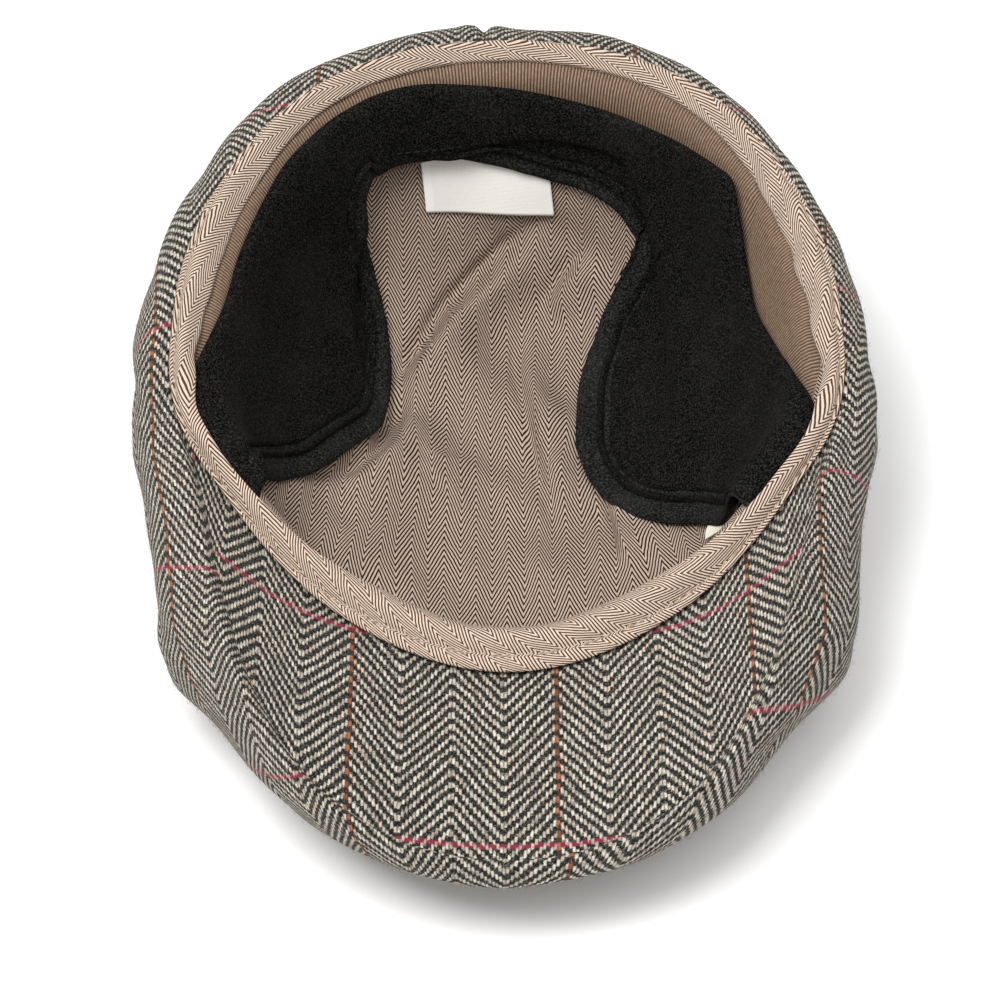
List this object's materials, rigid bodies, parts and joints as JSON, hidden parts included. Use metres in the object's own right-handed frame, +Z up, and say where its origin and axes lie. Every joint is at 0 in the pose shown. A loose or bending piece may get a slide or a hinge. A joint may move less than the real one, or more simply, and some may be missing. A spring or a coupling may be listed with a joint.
{
  "type": "flat cap with folding ear flap",
  "caption": "Tweed flat cap lying on its crown, opening up: stitched peak, cotton headband and lining, grosgrain ribbon and black felt ear flap folded inside.",
  "frame": {"origin": "middle of the bounding box, on the surface that the crown's flat lies on", "axes": "+Z up, out of the opening for the head; +Y towards the back of the cap, -Y towards the edge of the peak; +X to the right with the peak nearest"},
  "size_m": [0.2028, 0.2714, 0.0918],
  "materials": {
    "tweed": "matte",
    "peak_tweed": "matte",
    "headband_cotton": "matte",
    "lining_cotton": "matte",
    "grosgrain": "matte",
    "lower_felt": "matte",
    "upper_felt": "matte",
    "label_satin": "satin",
    "tag_satin": "satin"
  },
  "bodies": {
    "root": {"crown": "tweed", "peak": "peak_tweed", "headband": "headband_cotton", "lining": "lining_cotton", "grosgrain_ribbon": "grosgrain", "ear_flap_lower_felt": "lower_felt", "ear_flap_upper_felt": "upper_felt", "label": "label_satin", "size_tag": "tag_satin"}
  },
  "joints": []
}
